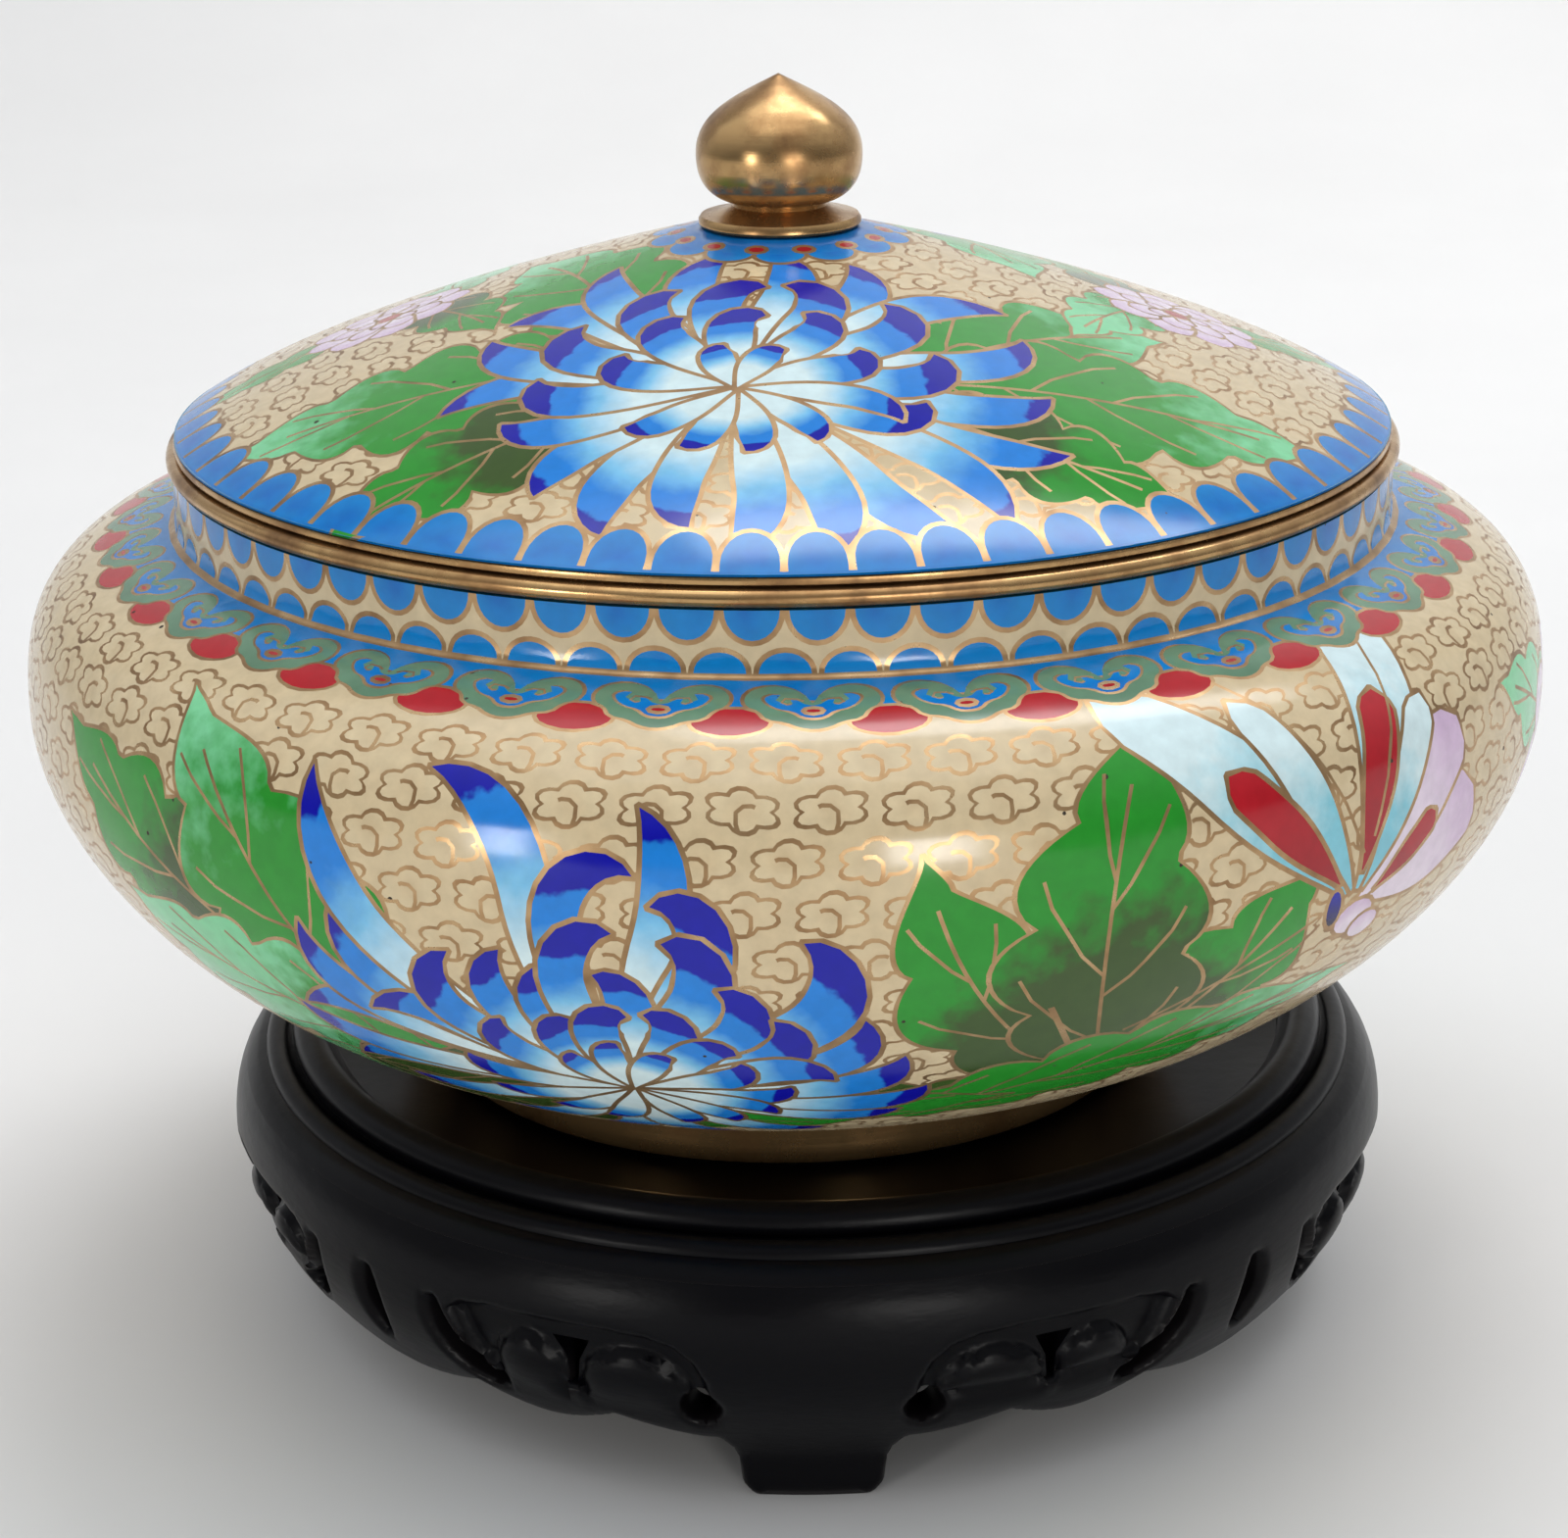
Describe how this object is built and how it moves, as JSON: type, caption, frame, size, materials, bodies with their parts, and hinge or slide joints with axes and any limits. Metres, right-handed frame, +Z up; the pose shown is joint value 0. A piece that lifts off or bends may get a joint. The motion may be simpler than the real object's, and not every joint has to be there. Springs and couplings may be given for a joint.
{
  "type": "lidded enamelled bowl on a carved stand",
  "caption": "Squat lidded bowl in cloisonne enamel with a brass knob, rim and foot, on a black carved wooden stand.",
  "frame": {"origin": "on the floor, under the bowl's axis, at the middle of the overall box's underside", "axes": "+Z up along the bowl's axis, -Y towards the front, +X to the right"},
  "size_m": [0.241, 0.241, 0.1991],
  "materials": {
    "cloisonne_enamel": "polished enamel between brass wires",
    "aged_brass": "worn polish with brown patina",
    "black_lacquered_wood": "satin black lacquer"
  },
  "bodies": {
    "root": {"stand": "black_lacquered_wood", "bowl_foot_ring": "aged_brass", "bowl": "cloisonne_enamel", "bowl_rim": "aged_brass", "lid_rim": "aged_brass", "lid": "cloisonne_enamel", "knob": "aged_brass"}
  },
  "joints": []
}
